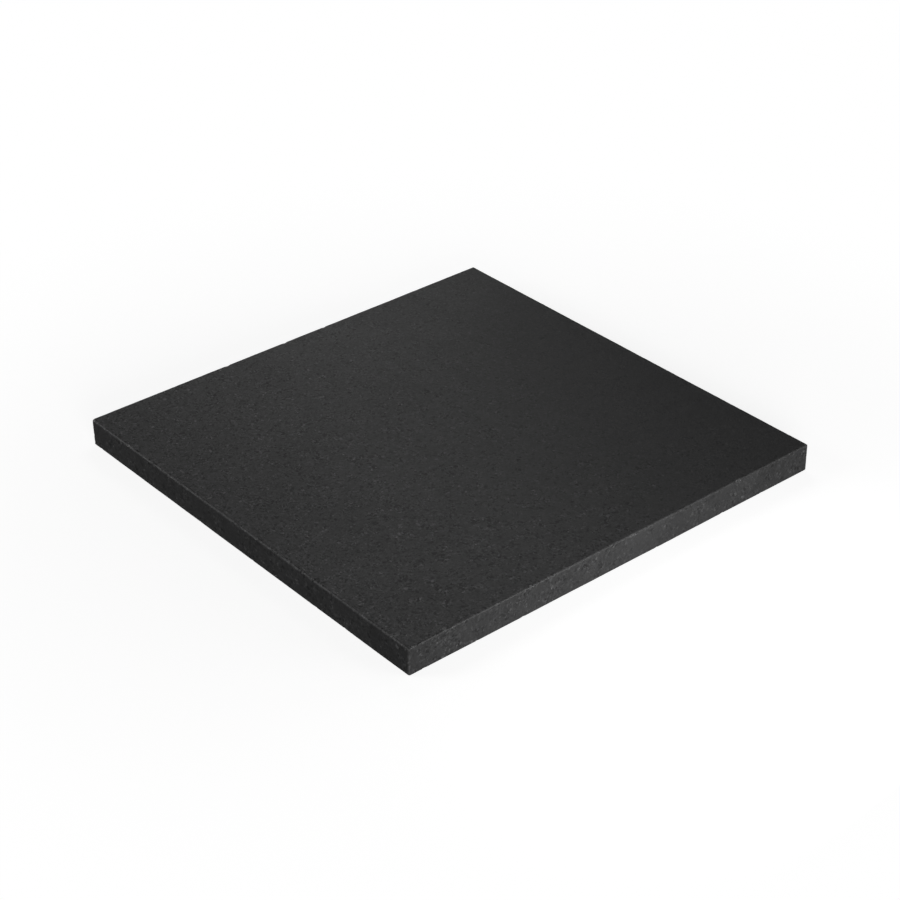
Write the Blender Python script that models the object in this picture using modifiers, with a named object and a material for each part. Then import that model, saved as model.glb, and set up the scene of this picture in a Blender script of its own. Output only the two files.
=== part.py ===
"""A granite slab for tooling and punching leather: one solid square of fine-grained black stone.

The slab lies flat with its honed working face up. Its sides run along X and Y, and +Z points up.
The origin is the middle of the underside, on the surface that the slab rests on.
"""

import bpy

# Driving dimensions, in metres
SIDE_X = 0.305
SIDE_Y = 0.305
THICKNESS = 0.018

# Every arris is rubbed down to a narrow flat. Its size is what it takes off each face beside it.
WORKING_ARRIS = 0.0011
CORNER_ARRIS = 0.0011
UNDERSIDE_ARRIS = 0.0006

# Black gabbro, which the stone trade sells as black granite
STONE_COLOUR = (0.034, 0.034, 0.035, 1.0)
STONE_ROUGHNESS = 0.5
STONE_METALLIC = 0.0

OBJECT_NAME = "granite_slab"


def clear_objects():
    """Remove every object that the open file holds."""
    for item in list(bpy.data.objects):
        bpy.data.objects.remove(item, do_unlink=True)


def make_collection(name):
    """Add a collection to the scene and return it."""
    collection = bpy.data.collections.new(name)
    bpy.context.scene.collection.children.link(collection)
    return collection


def make_material(name, colour, roughness, metallic):
    """Return a material with one Principled shader."""
    material = bpy.data.materials.new(name)
    material.use_nodes = True
    shader = material.node_tree.nodes["Principled BSDF"]
    shader.inputs["Base Color"].default_value = colour
    shader.inputs["Roughness"].default_value = roughness
    shader.inputs["Metallic"].default_value = metallic
    material.diffuse_color = colour
    return material


def add_block(name, size, collection, material):
    """Add a block of this size whose underside is centred on the origin."""
    bpy.ops.mesh.primitive_cube_add(size=1.0, location=(0.0, 0.0, size[2] / 2))
    block = bpy.context.object
    block.name = name
    block.data.name = name
    block.scale = size
    bpy.ops.object.transform_apply(location=True, rotation=False, scale=True)
    for holder in list(block.users_collection):
        holder.objects.unlink(block)
    collection.objects.link(block)
    block.data.materials.append(material)
    return block


def arris_size(start, end):
    """Return the size of the arris that runs between two corners of the block."""
    if start.z != end.z:
        return CORNER_ARRIS
    if start.z > THICKNESS / 2:
        return WORKING_ARRIS
    return UNDERSIDE_ARRIS


def ease_arrises(block):
    """Take every arris down to its own size, with one bevel that is weighted edge by edge."""
    mesh = block.data
    largest = max(WORKING_ARRIS, CORNER_ARRIS, UNDERSIDE_ARRIS)
    weights = mesh.attributes.new("bevel_weight_edge", "FLOAT", "EDGE")
    for edge in mesh.edges:
        start, end = (mesh.vertices[corner].co for corner in edge.vertices)
        weights.data[edge.index].value = arris_size(start, end) / largest
    bevel = block.modifiers.new("eased arrises", "BEVEL")
    bevel.limit_method = "WEIGHT"
    bevel.width = largest
    bevel.segments = 1


def build_slab():
    """Build the slab, which is a single stone."""
    collection = make_collection(OBJECT_NAME)
    stone = make_material("black_granite", STONE_COLOUR, STONE_ROUGHNESS, STONE_METALLIC)
    slab = add_block("slab", (SIDE_X, SIDE_Y, THICKNESS), collection, stone)
    ease_arrises(slab)


clear_objects()
build_slab()
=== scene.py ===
"""Looks for the granite slab: its fine stone surface, a pale floor, soft studio light and a camera.

The slab is one stone. Its mesh is lofted round the rim, where the eased arrises are, and filled
across its two large faces. Everything is in metres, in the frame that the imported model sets.
"""

import math
import random

import bpy
import numpy as np
from mathutils import Matrix, Vector, noise
from mathutils.geometry import delaunay_2d_cdt


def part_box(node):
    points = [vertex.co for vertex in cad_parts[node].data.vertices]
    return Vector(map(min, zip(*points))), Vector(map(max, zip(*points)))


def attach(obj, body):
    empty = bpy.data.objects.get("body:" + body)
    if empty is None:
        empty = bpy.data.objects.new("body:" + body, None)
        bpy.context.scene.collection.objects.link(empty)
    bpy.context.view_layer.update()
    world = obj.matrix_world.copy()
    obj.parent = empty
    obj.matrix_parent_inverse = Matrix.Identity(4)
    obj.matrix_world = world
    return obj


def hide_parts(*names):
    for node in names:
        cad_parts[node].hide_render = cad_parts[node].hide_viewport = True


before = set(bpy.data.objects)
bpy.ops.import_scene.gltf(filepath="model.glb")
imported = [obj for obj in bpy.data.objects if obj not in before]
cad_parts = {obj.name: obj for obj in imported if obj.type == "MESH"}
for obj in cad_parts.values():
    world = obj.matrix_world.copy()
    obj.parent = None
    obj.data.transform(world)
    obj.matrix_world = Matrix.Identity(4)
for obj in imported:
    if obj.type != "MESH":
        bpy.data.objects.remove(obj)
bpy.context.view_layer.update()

NODE = "slab"
LOW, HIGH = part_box(NODE)
HALF = np.array([(HIGH.x - LOW.x) / 2, (HIGH.y - LOW.y) / 2])
MIDDLE = np.array([(HIGH.x + LOW.x) / 2, (HIGH.y + LOW.y) / 2])
TOP = HIGH.z
BASE = LOW.z
MM = 0.001

# The rim and the faces: how wide the eased arrises are, and how finely the mesh is divided
WORKING_ARRIS = 1.0 * MM
UNDERSIDE_ARRIS = 0.6 * MM
CORNER_RADIUS = 1.1 * MM
INNER_RADIUS = 0.35 * MM
CORNER_TIGHTENING = 0.6
COLUMN_SPACING = 0.55 * MM
CORNER_COLUMNS = 7
SIDE_ROWS = 16
SHOULDER = 0.25 * MM
SHOULDER_RUB = 0.3
SMOOTH_BAND = 1.2 * MM
ARRIS_STEPS = (0.0, 0.25, 0.5, 0.75, 1.0)
UNDERSIDE_STEPS = (1.0, 0.5, 0.0)
ARRIS_BULGE = 0.07
WIDEST_STEP = 8 * MM
SAME_POINT = 1e-9

# How unevenly the arrises were eased by hand: waves, each a period, a share of the width and a seed
WORKING_WAVES = ((31 * MM, 0.13, 1), (7 * MM, 0.10, 2), (1.7 * MM, 0.06, 3))
UNDERSIDE_WAVES = ((23 * MM, 0.25, 4),)
GRAIN_PERIOD = 0.9 * MM
GRAIN_DEPTH = 0.07 * MM
GRAIN_SEED = 5

# How hard the working face's arris was rubbed on each side, at the side's middle and at its ends, for the
# upper X, upper Y, lower X and lower Y sides; the paler tone this gives is partly wear and partly a
# painted highlight
WEAR_AND_HIGHLIGHT = ((0.6, 0.3), (0.7, 0.5), (1.0, 0.8), (0.3, 0.0))
LEAST_ARRIS = 0.7
# The upright corners' share, well above 1, paints a bright highlight down them on top of their wear
CORNER_WEAR_AND_HIGHLIGHT = 2.4

# Chips out of the arrises: how many, how far each reaches along the stone and how deep it goes
NICKS = (46, (0.35 * MM, 0.80 * MM), (0.10 * MM, 0.20 * MM))
CHIPS = (8, (0.90 * MM, 1.40 * MM), (0.22 * MM, 0.34 * MM))
UNDERSIDE_CHIPS = (18, (0.50 * MM, 1.10 * MM), (0.10 * MM, 0.22 * MM))
CORNER_NICKS = (12, (0.35 * MM, 0.70 * MM), (0.10 * MM, 0.20 * MM))
CHIP_LENGTH = 1.5
CHIP_INSET = 0.25 * MM
SEED = 12

# The flat layout of the surface: the share of it that the slab's width takes on the working face and on
# the underside, the margin between parts, and the spacing of the side strips, a little over their height
FACE_SHARE = 0.70
UNDERSIDE_SHARE = 0.28
LAYOUT_MARGIN = 0.005
STRIP_SPACING = 0.76

# The stone's crystals, from large to small, and the noise that bends their outlines
FIELD = 3.6 * MM
LATH = 1.35 * MM
LATH_LENGTH = 2.0
SALT = 0.76 * MM
BEND_SIZE = 1.1 * MM
BEND_REACH = 0.6 * MM
BEND_DETAIL = 1.0

# How light the crystals are, in stops from the darkest, at 0, to the lightest, at 1. Then come the gain
# that brings their product to about 1, the least grain, the stone's own tone and its touch of blue.
LATH_TONES = ((0.0, 0.05), (0.10, 0.12), (0.16, 0.30), (0.55, 0.38), (0.95, 0.47), (1.0, 0.78))
SALT_TONES = ((0.0, 0.18), (0.08, 0.24), (0.14, 0.36), (0.94, 0.46), (1.0, 0.84))
GRAIN_GAIN = 7.0
DARKEST_GRAIN = 0.2
STONE_TONE = 0.029
STONE_BLUE = 1.012

# How bold the grain is: in faint and bold clusters, on sawn sides, and in a painted sheen across the X
# sides.
# A cluster is given by its size, the range of its noise and the boldness that this range gives.
CLUSTERS = (6.5 * MM, (0.38, 0.66), (0.45, 2.1))
# Painted sheen: the grain bolder at the lower X side, where the light brings it out, fainter at the upper
# X side
PAINTED_SHEEN_BOLDNESS = (1.15, 0.2)
PAINTED_SHEEN_DRIFT = (60 * MM, 25 * MM)
SIDE_BOLDNESS = 0.75
SIDE_LEAST_BOLDNESS = 0.8
SIDE_DARKS = 0.5

# The range in which soft noise mostly lies, and soft changes of tone, each a size and an amount
CLOUD_RANGE = (0.3, 0.7)
TONE_CLOUDS = ((38 * MM, 0.07), (9 * MM, 0.05))

# Patches in the wear: each a size, the range of its noise and the amounts that this range gives
FINE_PATCHES = (2.0 * MM, (0.35, 0.65), (0.65, 1.0))
WIDE_PATCHES = (26 * MM, (0.35, 0.6), (0.75, 1.05))
BRUISES = (0.6 * MM, (0.4, 0.6), (0.4, 1.0))

# How much paler the stone is where it is rubbed and where the arrises get a painted highlight, where it
# is sawn, under the slab or on the saw's arcs there, and the tone that a chip's bruise adds
RUBBED_AND_HIGHLIT_PALER = 0.35
SAWN_PALER = 0.08
UNDERSIDE_PALER = 0.45
ARC_PALER = 0.13
BRUISE_TONE = 0.02

# The finish: roughness from the best to the worst polished crystal, and what is added to it
ROUGHNESS = (0.43, 0.55)
GLINT_ONSET = (0.955, 0.965)
GLINT_ROUGHNESS = -0.13
HONE = (45 * MM, 0.03)
SAWN_ROUGHER = 0.06
UNDERSIDE_ROUGHER = 0.22
RUBBED_ROUGHER = 0.06
CRYSTAL_LEAN = 0.045
IOR = 1.5
SPECULAR_LEVEL = 0.35

# The relief, in shares of its depth: pits, domed crystals, the saw's streaks, and the arcs of its blade,
# whose centre lay off the slab. Pits and arcs are each a size, the range of its noise and the heights
# that this range gives.
RELIEF_DEPTH = 0.03 * MM
RELIEF_STRENGTH = 0.6
PITS = (0.8 * MM, (0.62, 0.74), (0.0, -1.2))
DOME = -0.6
STREAK_SPACING = 0.5 * MM
STREAK_SQUEEZE = 0.03
STREAK_HEIGHT = 1.2
FINE_RELIEF = 0.35 * MM
FINE_DETAIL = 3.0
BLADE_CENTRE = (0.0, 0.4, 0.0)
ARCS = (5 * MM, (0.4, 0.6), (-1.0, 1.0))
ARC_DETAIL = 4.0
ARC_HEIGHT = 2.0

# The studio: soft lights by azimuth, elevation, distance, width and height, and watts
SOFTBOXES = {
    "front": (4, 7, 0.37, (0.2, 0.08), 0.51),
    "front_left": (-30, 12, 1.3, (0.5, 0.5), 8.1),
    "left_rim": (-120, 30, 1.3, (0.5, 0.5), 3.4),
    "right_fill": (75, 5, 1.3, (0.8, 0.14), 6.8),
    "back_fill": (200, 6, 1.3, (1.5, 0.2), 4.5),
    "sheen": (150, 12, 1.3, (0.5, 0.5), 1.07),
}

# The overhead light, the dim even world, and the floor: how far it reaches, its gap under the slab, its
# tone and glow there, and the distances from the middle between which it turns to plain white
OVERHEAD_PLACE = Vector((0.3, 0.3, 0.55))
OVERHEAD_SIZE = (0.3, 0.3)
OVERHEAD_WATTS = 0.6
WHITE = (1.0, 1.0, 1.0, 1.0)
WORLD_LIGHT = 0.03
FLOOR_REACH = 30.0
FLOOR_GAP = 0.2 * MM
FLOOR_TONE = 0.37
FLOOR_GLOW = 0.82
FLOOR_FADE = (0.19, 0.43)

# The camera: the point it aims at, the angles and distance it looks from, its roll, and its lens in mm
CAMERA_AIM = Vector((-0.00218, -0.00681, 0.0090))
CAMERA_AZIMUTH = -39.58
CAMERA_ELEVATION = 32.02
CAMERA_ROLL = -0.824
CAMERA_DISTANCE = 1.3228
CAMERA_LENS = 88.31
CAMERA_SENSOR = 36.0


# ---------------------------------------------------------------- the slab's mesh


class Rim:
    """The columns round the slab, counter-clockwise seen from above, from which outlines are made."""

    def __init__(self):
        signs = [(1, 1), (-1, 1), (-1, -1), (1, -1)]
        start, end, along, angle, side, corner_rub, wear_and_highlight = [], [], [], [], [], [], []
        for corner in range(4):
            here, following = signs[corner], signs[(corner + 1) % 4]
            for step in range(CORNER_COLUMNS):
                share = step / (CORNER_COLUMNS - 1)
                start.append(here)
                end.append(here)
                along.append(0.0)
                angle.append(math.radians(90 * (corner + share)))
                side.append(corner if share < 0.5 else (corner + 1) % 4)
                corner_rub.append(1.0 if 0 < share < 1 else SHOULDER_RUB)
                wear_and_highlight.append(WEAR_AND_HIGHLIGHT[corner][1] * (1 - share) + WEAR_AND_HIGHLIGHT[(corner + 1) % 4][1] * share)
            axis = corner % 2
            count = round(2 * HALF[axis] / COLUMN_SPACING)
            most, least = WEAR_AND_HIGHLIGHT[(corner + 1) % 4]
            for step in range(1, count):
                start.append(here)
                end.append(following)
                along.append(step / count)
                wear_and_highlight.append(least + (most - least) * math.sin(math.pi * step / count))
                angle.append(math.radians(90 * (corner + 1)))
                side.append((corner + 1) % 4)
                corner_rub.append(0.0)
        self.start = np.array(start, float)
        self.end = np.array(end, float)
        self.along = np.array(along)[:, None]
        self.direction = np.stack([np.cos(angle), np.sin(angle)], 1)
        self.side = np.array(side)
        self.corner_rub = np.array(corner_rub)
        self.wear_and_highlight = np.array(wear_and_highlight)
        self.count = len(side)

    def outline(self, inset):
        """The slab's outline, this far inside its sides. The corners tighten as the outline shrinks."""
        inset = np.broadcast_to(np.asarray(inset, float), (self.count,))[:, None]
        radius = np.maximum(CORNER_RADIUS - CORNER_TIGHTENING * inset, INNER_RADIUS)
        reach = HALF - inset - radius
        centres = self.start * reach * (1 - self.along) + self.end * reach * self.along
        return MIDDLE + centres + radius * self.direction


def wave(points, period, seed):
    """Smooth noise from about -1 to 1 at each point, with features about this long."""
    return np.array([noise.noise(Vector(point) / period + Vector((seed, 0, -seed))) for point in points])


def uneven(points, waves):
    """A factor about 1 at each point that rises and falls with these waves."""
    factor = 1.0
    for period, share, seed in waves:
        factor = factor + share * wave(points, period, seed)
    return factor


def flat_points(outline, height):
    """Points at this height from an outline in plan."""
    return np.column_stack([outline, np.broadcast_to(height, (len(outline),))])


def profile_rows(rim):
    """The rim's rows of points from the working face, over its arris and down the side, to the underside.

    With each row come how far its points lie on an arris, how rubbed they are, which also paints a
    highlight along the arrises and is above 1 on the upright corners, and how far the row belongs to the
    sawn sides.
    """
    place = flat_points(rim.outline(0.0), 0.0)
    rubbed_away = LEAST_ARRIS + (1 - LEAST_ARRIS) * rim.wear_and_highlight
    working = WORKING_ARRIS * uneven(place, WORKING_WAVES) * rubbed_away
    under = UNDERSIDE_ARRIS * uneven(place, UNDERSIDE_WAVES)
    rows = []

    def add(inset, height, rub, sawn, corner_share=1.0):
        """Add a row of points this far inside the sides and at this height."""
        on_arris = np.maximum(rub, rim.corner_rub * corner_share)
        # The rubbed number is wear and a painted highlight along the arrises, strongest down the upright
        # corners
        rubbed_and_highlit = np.maximum(rub * rim.wear_and_highlight, rim.corner_rub * corner_share * CORNER_WEAR_AND_HIGHLIGHT)
        rows.append((flat_points(rim.outline(inset), height), on_arris, rubbed_and_highlit, sawn))

    def add_arris(size, edge, way, steps):
        """Points across an arris whose large face lies at the height edge, in their downward order."""
        for share in steps:
            bulge = ARRIS_BULGE * size * 4 * share * (1 - share)
            add(size * (1 - share) - bulge, edge + way * (size * share - bulge), 1.0, share)

    add(WORKING_ARRIS + SMOOTH_BAND, TOP, 0.0, 0.0, 0.0)
    add(working + SHOULDER, TOP, SHOULDER_RUB, 0.0, 0.0)
    add_arris(working, TOP, -1, ARRIS_STEPS)
    add(0.0, TOP - working - SHOULDER, SHOULDER_RUB, 1.0)
    highest = TOP - WORKING_ARRIS - SMOOTH_BAND
    lowest = BASE + UNDERSIDE_ARRIS + SMOOTH_BAND
    for height in np.linspace(highest, lowest, SIDE_ROWS):
        add(0.0, height, 0.0, 1.0)
    add(0.0, BASE + under + SHOULDER, SHOULDER_RUB, 1.0)
    add_arris(under, BASE, 1, UNDERSIDE_STEPS)
    add(UNDERSIDE_ARRIS + SMOOTH_BAND, BASE, 0.0, 0.0, 0.0)
    return rows


def chip_arrises(points, on_arris, rim):
    """Knock small chips out of the arrises. Returns how freshly broken each point is, from 0 to 1."""
    draw = random.Random(SEED)
    outline = rim.outline(0.0)
    corners = np.flatnonzero(rim.corner_rub == 1.0)
    spots = []
    for kind, height in ((NICKS, TOP), (CHIPS, TOP), (UNDERSIDE_CHIPS, BASE), (CORNER_NICKS, None)):
        count, reaches, depths = kind
        for _ in range(count):
            column = draw.randrange(rim.count) if height is not None else int(draw.choice(corners))
            level = height if height is not None else draw.uniform(BASE, TOP)
            spots.append((column, level, draw.uniform(*reaches), draw.uniform(*depths)))
    fresh = np.zeros(len(points))
    for column, level, reach, depth in spots:
        normal = rim.direction[column]
        rise = 1.0 if level == BASE else -1.0 if level == TOP else 0.0
        centre = np.array([*(outline[column] - normal * CHIP_INSET), level + rise * CHIP_INSET])
        gap = points - centre
        along = gap[:, 0] * -normal[1] + gap[:, 1] * normal[0]
        across = np.sqrt(np.maximum((gap**2).sum(1) - along**2, 0))
        near = (along / (CHIP_LENGTH * reach)) ** 2 + (across / reach) ** 2
        share = np.sqrt(np.clip(1 - near, 0, 1)) * (on_arris > 0)
        push = Vector((*-normal, rise)).normalized()
        points += (share * depth)[:, None] * np.array(push)
        fresh = np.maximum(fresh, share)
    return fresh


def fill_points(first_inset):
    """Points across a large face, which grow sparser towards its middle."""
    found = []
    inset, step = first_inset, COLUMN_SPACING
    while step < WIDEST_STEP:
        step *= 2
        inset += step
        reach = HALF - inset
        for axis in range(2):
            count = round(2 * reach[axis] / step)
            line = np.linspace(-reach[axis], reach[axis], count, endpoint=False)
            for way in (1, -1):
                row = np.zeros((count, 2))
                row[:, axis] = way * line
                row[:, 1 - axis] = way * reach[1 - axis] * (1 if axis else -1)
                found.append(row)
    reach = HALF - inset - step
    counts = [round(2 * reach[axis] / step) + 1 for axis in range(2)]
    grid = np.meshgrid(*(np.linspace(-reach[axis], reach[axis], counts[axis]) for axis in range(2)))
    found.append(np.stack([part.ravel() for part in grid], 1))
    return MIDDLE + np.concatenate(found)


def fill(ring, inside):
    """Triangles across a ring of points in plan and the points inside it, by constrained Delaunay."""
    flat = [Vector(point) for point in np.concatenate([ring, inside])]
    border = [(number, (number + 1) % len(ring)) for number in range(len(ring))]
    faces, origins = delaunay_2d_cdt(flat, border, [], 0, SAME_POINT)[2:4]
    first = [origin[0] for origin in origins]
    return [[first[corner] for corner in face] for face in faces]


def add_float(mesh, name, values):
    """Store one number for each point of the mesh, for the material to read."""
    mesh.attributes.new(name, "FLOAT", "POINT").data.foreach_set("value", values)


def lay_out(mesh, zones, sides):
    """Lay the surface out flat: the working face large, the sides as strips, the underside small."""
    corner_point = np.empty(len(mesh.loops), np.int32)
    mesh.loops.foreach_get("vertex_index", corner_point)
    places = np.empty(len(mesh.vertices) * 3, np.float32)
    mesh.vertices.foreach_get("co", places)
    places = places.reshape(-1, 3).astype(float)[corner_point]
    corners_per_face = np.empty(len(mesh.polygons), np.int32)
    mesh.polygons.foreach_get("loop_total", corners_per_face)
    zone = np.repeat(zones, corners_per_face)
    side = np.repeat(sides, corners_per_face)
    span = 2 * HALF.max()
    plan = (places[:, :2] - MIDDLE + HALF) / span
    rise = (places[:, 2] - BASE) / span
    layout = LAYOUT_MARGIN + plan * FACE_SHARE
    below = zone == "underside"
    corner = [FACE_SHARE + 2 * LAYOUT_MARGIN, 2 * LAYOUT_MARGIN]
    layout[below] = corner + plan[below] * UNDERSIDE_SHARE
    for number in range(4):
        strip = (zone == "side") & (side == number)
        layout[strip, 0] = LAYOUT_MARGIN + plan[strip, 1 - number % 2] * FACE_SHARE
        first = FACE_SHARE + 3 * LAYOUT_MARGIN + number * (TOP - BASE) / span * STRIP_SPACING
        layout[strip, 1] = first + rise[strip] * FACE_SHARE
    mesh.uv_layers.new(name="OFBake").data.foreach_set("uv", layout.ravel())


def build_slab():
    """Build the slab's surface as one closed mesh."""
    rim = Rim()
    rows = profile_rows(rim)
    points = np.concatenate([row[0] for row in rows])
    on_arris = np.concatenate([row[1] for row in rows])
    rubbed_and_highlit = np.concatenate([row[2] for row in rows])
    sawn = np.repeat([row[3] for row in rows], rim.count)
    inward = np.tile(-rim.direction, (len(rows), 1))
    grain = np.abs(wave(points, GRAIN_PERIOD, GRAIN_SEED)) * (on_arris == 1.0)
    points[:, :2] += inward * grain[:, None] * GRAIN_DEPTH
    fresh = chip_arrises(points, on_arris, rim)

    faces, zones, sides = [], [], []
    side_start = 1 + len(ARRIS_STEPS)
    side_end = len(rows) - 2 - len(UNDERSIDE_STEPS)
    for row in range(len(rows) - 1):
        here, below = row * rim.count, (row + 1) * rim.count
        zone = "top" if row < side_start else "side" if row < side_end else "underside"
        for column in range(rim.count):
            following = (column + 1) % rim.count
            faces.append((here + column, below + column, below + following, here + following))
            zones.append(zone)
            sides.append(rim.side[column])
    last = (len(rows) - 1) * rim.count
    for first, arris, height, zone in (
        (0, WORKING_ARRIS, TOP, "top"),
        (last, UNDERSIDE_ARRIS, BASE, "underside"),
    ):
        ring = points[first : first + rim.count, :2]
        inside = fill_points(arris + SMOOTH_BAND)
        number = [*range(first, first + rim.count), *range(len(points), len(points) + len(inside))]
        for face in fill(ring, inside):
            order = face if zone == "top" else face[::-1]
            faces.append(tuple(number[corner] for corner in order))
            zones.append(zone)
            sides.append(0)
        points = np.concatenate([points, flat_points(inside, height)])
        plain = np.zeros(len(inside))
        rubbed_and_highlit, sawn, fresh = (np.concatenate([values, plain]) for values in (rubbed_and_highlit, sawn, fresh))
    under = np.clip(1 - (points[:, 2] - BASE) / UNDERSIDE_ARRIS, 0, 1)

    mesh = bpy.data.meshes.new("slab_stone")
    mesh.from_pydata(points.tolist(), [], faces)
    mesh.validate()
    mesh.shade_smooth()
    for name, values in (("rubbed_and_highlit", rubbed_and_highlit), ("sawn", sawn), ("fresh", fresh), ("under", under)):
        add_float(mesh, name, values)
    lay_out(mesh, np.array(zones), np.array(sides))
    slab = bpy.data.objects.new("slab_stone", mesh)
    bpy.context.scene.collection.objects.link(slab)
    return slab


# ---------------------------------------------------------------- the stone's material


class Nodes:
    """Adds nodes to a material's tree in few words."""

    def __init__(self, tree):
        tree.nodes.clear()
        self.tree = tree

    def add(self, kind, inputs=None, **settings):
        """Add a node. Each input is a value, or an output socket to link to."""
        node = self.tree.nodes.new(kind)
        for name, value in settings.items():
            setattr(node, name, value)
        for key, value in (inputs or {}).items():
            if isinstance(value, bpy.types.NodeSocket):
                self.tree.links.new(value, node.inputs[key])
            else:
                node.inputs[key].default_value = value
        return node

    def math(self, operation, *values):
        """The result of a sum, product or other operation on numbers, taken from left to right."""
        result = values[0]
        for value in values[1:]:
            result = self.add("ShaderNodeMath", {0: result, 1: value}, operation=operation).outputs[0]
        return result

    def vector(self, operation, first, second):
        """The result of an operation on two vectors, or on a vector and a scale."""
        key = 3 if operation == "SCALE" else 1
        return self.add("ShaderNodeVectorMath", {0: first, key: second}, operation=operation).outputs[0]

    def spread(self, value, low, high, to_low=0.0, to_high=1.0):
        """A number taken from one range to another, held at its ends."""
        inputs = {"Value": value, "From Min": low, "From Max": high, "To Min": to_low, "To Max": to_high}
        return self.add("ShaderNodeMapRange", inputs).outputs["Result"]

    def steps(self, value, stops):
        """A number looked up between stops, each a place and a value."""
        node = self.add("ShaderNodeValToRGB", {"Fac": value})
        ramp = node.color_ramp
        while len(ramp.elements) < len(stops):
            ramp.elements.new(1.0)
        for element, (place, level) in zip(ramp.elements, stops):
            element.position = place
            element.color = (level, level, level, 1.0)
        return node.outputs["Color"]

    def attribute(self, name):
        """A number that the mesh stores."""
        return self.add("ShaderNodeAttribute", attribute_name=name).outputs["Fac"]

    def crystals(self, place, size):
        """Cells of about this size. Returns each one's random vector, and the distance to its middle."""
        node = self.add("ShaderNodeTexVoronoi", {"Vector": place, "Scale": 1 / size})
        return node.outputs["Color"], node.outputs["Distance"]

    def parts(self, vector):
        """The three numbers of a vector."""
        return self.add("ShaderNodeSeparateXYZ", {0: vector}).outputs

    def cloud(self, place, size, detail=2.0):
        """Soft noise from 0 to 1 with features of about this size."""
        inputs = {"Vector": place, "Scale": 1 / size, "Detail": detail}
        return self.add("ShaderNodeTexNoise", inputs).outputs["Fac"]

    def patches(self, place, patch, detail=2.0):
        """Soft patches, given by their size, the range of their noise and what this range gives."""
        size, noise_range, amounts = patch
        return self.spread(self.cloud(place, size, detail), *noise_range, *amounts)

    def drift(self, place, size, middle, amount):
        """A number that drifts this amount each way from its middle, over about this size."""
        return self.spread(self.cloud(place, size), *CLOUD_RANGE, middle - amount, middle + amount)

    def centred(self, vector):
        """A random vector whose numbers ran from 0 to 1, moved to run from -0.5 to 0.5."""
        return self.vector("SUBTRACT", vector, (0.5, 0.5, 0.5))

    def paler(self, tone, share, amount):
        """A tone raised by this amount where the share is 1, and by less where it is less."""
        return self.math("MULTIPLY", tone, self.math("ADD", self.math("MULTIPLY", share, amount), 1.0))


def stone_crystals(nodes, place):
    """The stone's crystals: laths that lie in one direction within each field, and a finer salt.

    Returns each lath's random numbers, each salt grain's random vector and the distance to its middle.
    """
    inputs = {"Vector": place, "Scale": 1 / BEND_SIZE, "Detail": BEND_DETAIL}
    bend = nodes.add("ShaderNodeTexNoise", inputs)
    bend = nodes.vector("SCALE", nodes.centred(bend.outputs["Color"]), BEND_REACH)
    bent = nodes.vector("ADD", place, bend)
    field, _ = nodes.crystals(bent, FIELD)
    turn = nodes.vector("SCALE", field, 2 * math.pi)
    inputs = {"Vector": bent, "Rotation": turn}
    turned = nodes.add("ShaderNodeVectorRotate", inputs, rotation_type="EULER_XYZ").outputs[0]
    squeezed = nodes.vector("MULTIPLY", turned, (1.0, 1 / LATH_LENGTH, 1.0))
    lath, _ = nodes.crystals(squeezed, LATH)
    salt, salt_middle = nodes.crystals(bent, SALT)
    return nodes.parts(lath), salt, salt_middle


def grain_boldness(nodes, place, sawn):
    """How much the grain stands out: more in some clusters, and less towards the upper X side, a painted
    sheen that brings the grain out at the lower X side.
    """
    boldness = nodes.patches(place, CLUSTERS)
    # Painted sheen: bolder grain towards the lower X side, fainter towards the upper X side
    size, reach = PAINTED_SHEEN_DRIFT
    across = nodes.math("ADD", nodes.parts(place)[0], nodes.drift(place, size, 0.0, reach))
    painted_sheen_fading = nodes.spread(across, -HALF[0], HALF[0], *PAINTED_SHEEN_BOLDNESS)
    painted_sheen_fading = nodes.math("MAXIMUM", painted_sheen_fading, nodes.math("MULTIPLY", sawn, SIDE_LEAST_BOLDNESS))
    boldness = nodes.math("MULTIPLY", boldness, nodes.spread(sawn, 0.0, 1.0, 1.0, SIDE_BOLDNESS))
    return nodes.math("MULTIPLY", boldness, painted_sheen_fading)


def grain_tone(nodes, place, sawn, lath, salt):
    """The grain's lightness, about 1. Sawn sides show fewer dark crystals."""
    lath_tone = nodes.steps(lath[0], LATH_TONES)
    salt_tone = nodes.steps(salt[0], SALT_TONES)
    grains = nodes.math("SUBTRACT", nodes.math("MULTIPLY", lath_tone, salt_tone, GRAIN_GAIN), 1.0)
    softer = nodes.math("MULTIPLY", grains, nodes.spread(sawn, 0.0, 1.0, 1.0, SIDE_DARKS))
    grains = nodes.math("MAXIMUM", grains, softer)
    grains = nodes.math("MULTIPLY", grains, grain_boldness(nodes, place, sawn))
    tone = nodes.math("MAXIMUM", nodes.math("ADD", grains, 1.0), DARKEST_GRAIN)
    for size, amount in TONE_CLOUDS:
        tone = nodes.math("MULTIPLY", tone, nodes.drift(place, size, 1.0, amount))
    return tone


def saw_arcs(nodes, place, under):
    """The arcs that a large blade left across the underside, from -1 to 1."""
    blade = nodes.add("ShaderNodeVectorMath", {0: place, 1: BLADE_CENTRE}, operation="DISTANCE")
    arc_place = nodes.add("ShaderNodeCombineXYZ", {0: blade.outputs["Value"]}).outputs[0]
    return nodes.math("MULTIPLY", under, nodes.patches(arc_place, ARCS, ARC_DETAIL))


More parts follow.
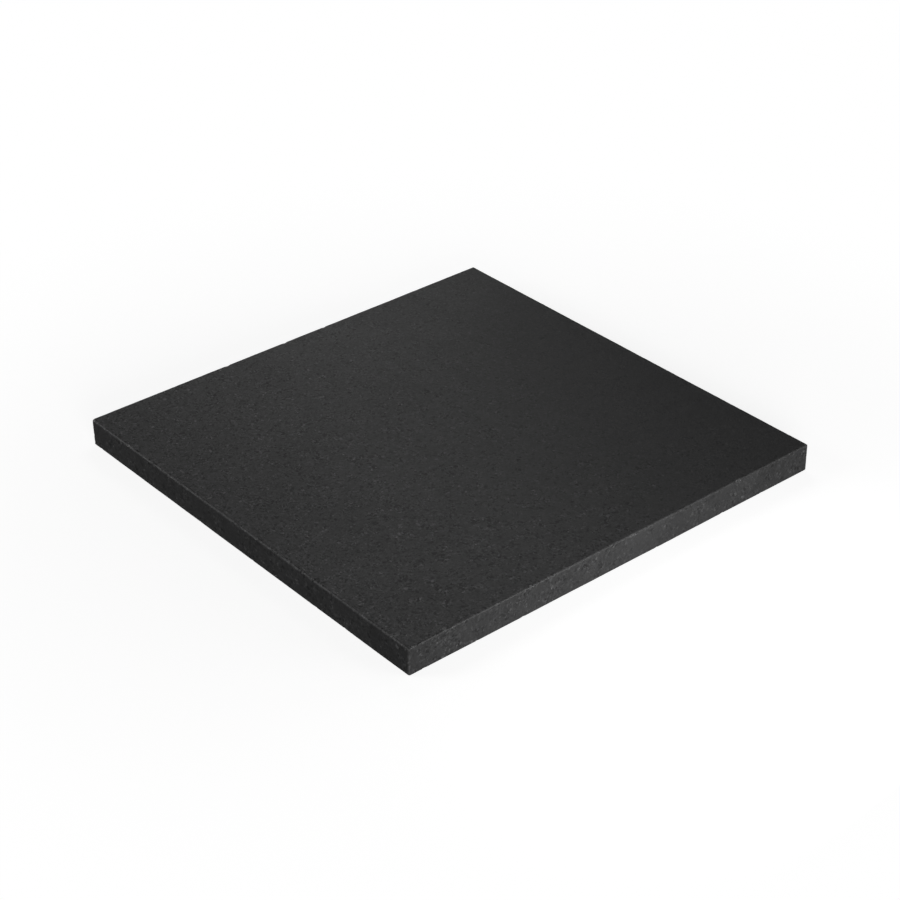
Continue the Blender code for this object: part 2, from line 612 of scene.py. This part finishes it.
def worn_and_highlit_colour(nodes, place, tone, rubbed_and_highlit, sawn, fresh, under, arcs):
    """The stone's colour, paler where it is rubbed, sawn or freshly chipped, in patches, with a painted
    highlight along the arrises.
    """
    fine, wide = nodes.patches(place, FINE_PATCHES), nodes.patches(place, WIDE_PATCHES)
    # Painted highlight along the arrises, together with their wear
    tone = nodes.paler(tone, nodes.math("MULTIPLY", rubbed_and_highlit, fine, wide), RUBBED_AND_HIGHLIT_PALER)
    tone = nodes.paler(tone, sawn, SAWN_PALER)
    tone = nodes.math("MULTIPLY", nodes.paler(tone, under, UNDERSIDE_PALER), STONE_TONE)
    tone = nodes.paler(tone, arcs, ARC_PALER)
    bruise = nodes.math("MULTIPLY", fresh, nodes.patches(place, BRUISES), BRUISE_TONE)
    tone = nodes.math("ADD", tone, bruise)
    blue = nodes.math("MULTIPLY", tone, STONE_BLUE)
    return nodes.add("ShaderNodeCombineXYZ", {0: tone, 1: tone, 2: blue}).outputs[0]


def honed_roughness(nodes, place, lath, salt, rubbed_and_highlit, sawn, under):
    """The finish: some crystals take a better polish than others, and a few glint."""
    rough = nodes.spread(lath[1], 0.0, 1.0, *ROUGHNESS)
    glint = nodes.spread(salt[1], *GLINT_ONSET, 0.0, GLINT_ROUGHNESS)
    size, amount = HONE
    hone = nodes.drift(place, size, 0.0, amount)
    sawn_rougher = nodes.math("MULTIPLY", sawn, SAWN_ROUGHER)
    duller = nodes.math("ADD", sawn_rougher, nodes.math("MULTIPLY", under, UNDERSIDE_ROUGHER))
    return nodes.math("ADD", rough, glint, hone, duller, nodes.math("MULTIPLY", rubbed_and_highlit, RUBBED_ROUGHER))


def fine_relief(nodes, place, salt, salt_middle, sawn, arcs):
    """The surface's normal: leaning, slightly domed crystals, pits, and the saw's streaks and arcs."""
    normal = nodes.add("ShaderNodeNewGeometry").outputs["Normal"]
    lean = nodes.vector("SCALE", nodes.centred(salt), CRYSTAL_LEAN)
    normal = nodes.vector("ADD", normal, lean)
    normal = nodes.add("ShaderNodeVectorMath", {0: normal}, operation="NORMALIZE").outputs[0]
    pits = nodes.patches(place, PITS)
    dome = nodes.math("MULTIPLY", salt_middle, DOME)
    streak_place = nodes.vector("MULTIPLY", place, (STREAK_SQUEEZE, STREAK_SQUEEZE, 1.0))
    streaks = nodes.math("MULTIPLY", sawn, nodes.cloud(streak_place, STREAK_SPACING), STREAK_HEIGHT)
    ridges = nodes.math("MULTIPLY", arcs, ARC_HEIGHT)
    height = nodes.math("ADD", pits, dome, streaks, ridges, nodes.cloud(place, FINE_RELIEF, FINE_DETAIL))
    inputs = {"Height": height, "Normal": normal, "Strength": RELIEF_STRENGTH, "Distance": RELIEF_DEPTH}
    return nodes.add("ShaderNodeBump", inputs).outputs["Normal"]


def stone_material():
    """Black granite: dark and grey laths with a salt of finer grains, honed to a satin face."""
    material = bpy.data.materials.new("black_granite")
    material.use_nodes = True
    nodes = Nodes(material.node_tree)
    place = nodes.add("ShaderNodeTexCoord").outputs["Object"]
    rubbed_and_highlit, sawn, fresh, under = (nodes.attribute(name) for name in ("rubbed_and_highlit", "sawn", "fresh", "under"))
    lath, salt, salt_middle = stone_crystals(nodes, place)
    salt_parts = nodes.parts(salt)
    arcs = saw_arcs(nodes, place, under)
    tone = grain_tone(nodes, place, sawn, lath, salt_parts)
    shader = nodes.add(
        "ShaderNodeBsdfPrincipled",
        {
            "Base Color": worn_and_highlit_colour(nodes, place, tone, rubbed_and_highlit, sawn, fresh, under, arcs),
            "Roughness": honed_roughness(nodes, place, lath, salt_parts, rubbed_and_highlit, sawn, under),
            "Normal": fine_relief(nodes, place, salt, salt_middle, sawn, arcs),
            "IOR": IOR,
            "Specular IOR Level": SPECULAR_LEVEL,
        },
    )
    nodes.add("ShaderNodeOutputMaterial", {"Surface": shader.outputs[0]})
    return material


# ---------------------------------------------------------------- the studio


def add_floor():
    """A wide pale floor that turns to plain white just outside the slab, where it meets the backdrop."""
    mesh = bpy.data.meshes.new("floor")
    corners = [(x * FLOOR_REACH, y * FLOOR_REACH, 0) for x, y in ((-1, -1), (1, -1), (1, 1), (-1, 1))]
    mesh.from_pydata(corners, [], [(0, 1, 2, 3)])
    floor = bpy.data.objects.new("floor", mesh)
    floor.location.z = BASE - FLOOR_GAP
    floor.visible_diffuse = False
    floor.visible_glossy = False
    bpy.context.scene.collection.objects.link(floor)
    material = bpy.data.materials.new("pale_floor")
    material.use_nodes = True
    nodes = Nodes(material.node_tree)
    place = nodes.add("ShaderNodeTexCoord").outputs["Object"]
    distance = nodes.add("ShaderNodeVectorMath", {0: place}, operation="LENGTH").outputs["Value"]
    lit = nodes.add("ShaderNodeBsdfDiffuse", {"Color": (FLOOR_TONE, FLOOR_TONE, FLOOR_TONE, 1.0)})
    glow = nodes.add("ShaderNodeEmission", {"Color": WHITE, "Strength": FLOOR_GLOW})
    near = nodes.add("ShaderNodeAddShader", {0: lit.outputs[0], 1: glow.outputs[0]})
    far = nodes.add("ShaderNodeEmission", {"Color": WHITE, "Strength": 1.0})
    inputs = {"Value": distance, "From Min": FLOOR_FADE[0], "From Max": FLOOR_FADE[1]}
    share = nodes.add("ShaderNodeMapRange", inputs, interpolation_type="SMOOTHSTEP").outputs["Result"]
    blend = nodes.add("ShaderNodeMixShader", {0: share, 1: near.outputs[0], 2: far.outputs[0]})
    nodes.add("ShaderNodeOutputMaterial", {"Surface": blend.outputs[0]})
    mesh.materials.append(material)


def outward(azimuth, elevation):
    """The direction outwards at these angles in degrees. Azimuth 0 is on the lower Y side."""
    azimuth, elevation = math.radians(azimuth), math.radians(elevation)
    flat = math.cos(elevation)
    return Vector((math.sin(azimuth) * flat, -math.cos(azimuth) * flat, math.sin(elevation)))


def add_softbox(name, place, size, watts, direction):
    """A soft light at a place that shines in a direction and that the camera doesn't see."""
    light = bpy.data.lights.new(name, "AREA")
    light.shape = "RECTANGLE"
    light.size, light.size_y = size
    light.energy = watts
    box = bpy.data.objects.new(name, light)
    box.location = place
    box.rotation_mode = "QUATERNION"
    box.rotation_quaternion = direction.to_track_quat("-Z", "Y")
    box.visible_camera = False
    bpy.context.scene.collection.objects.link(box)


def add_lights():
    """Softboxes round the slab that face its middle, and one behind and above it that faces down."""
    for name, (azimuth, elevation, distance, size, watts) in SOFTBOXES.items():
        place = outward(azimuth, elevation) * distance
        add_softbox(name, place, size, watts, -place)
    add_softbox("overhead", OVERHEAD_PLACE, OVERHEAD_SIZE, OVERHEAD_WATTS, Vector((0.0, 0.0, -1.0)))


def add_world():
    """A dim even world for the stone, which the camera sees as a white backdrop."""
    world = bpy.data.worlds.new("studio")
    bpy.context.scene.world = world
    world.use_nodes = True
    nodes = Nodes(world.node_tree)
    dim = nodes.add("ShaderNodeBackground", {"Color": WHITE, "Strength": WORLD_LIGHT})
    white = nodes.add("ShaderNodeBackground", {"Color": WHITE, "Strength": 1.0})
    seen = nodes.add("ShaderNodeLightPath").outputs["Is Camera Ray"]
    mix = nodes.add("ShaderNodeMixShader", {0: seen, 1: dim.outputs[0], 2: white.outputs[0]})
    nodes.add("ShaderNodeOutputWorld", {"Surface": mix.outputs[0]})


def add_camera():
    """A long lens that looks down on the slab's front corner from outside its lower X and Y sides."""
    back = outward(CAMERA_AZIMUTH, CAMERA_ELEVATION)
    data = bpy.data.cameras.new("camera")
    data.lens = CAMERA_LENS
    data.sensor_width = CAMERA_SENSOR
    camera = bpy.data.objects.new("camera", data)
    camera.location = CAMERA_AIM + back * CAMERA_DISTANCE
    camera.rotation_mode = "QUATERNION"
    level = (-back).to_track_quat("-Z", "Y").to_matrix()
    roll = Matrix.Rotation(math.radians(CAMERA_ROLL), 3, "Z")
    camera.rotation_quaternion = (level @ roll).to_quaternion()
    bpy.context.scene.collection.objects.link(camera)
    bpy.context.scene.camera = camera


def main():
    """Build the slab and set it in the studio."""
    add_camera()
    slab = build_slab()
    slab.data.materials.append(stone_material())
    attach(slab, "root")
    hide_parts(NODE)
    add_floor()
    add_lights()
    add_world()
    bpy.context.scene.view_settings.view_transform = "Standard"


main()
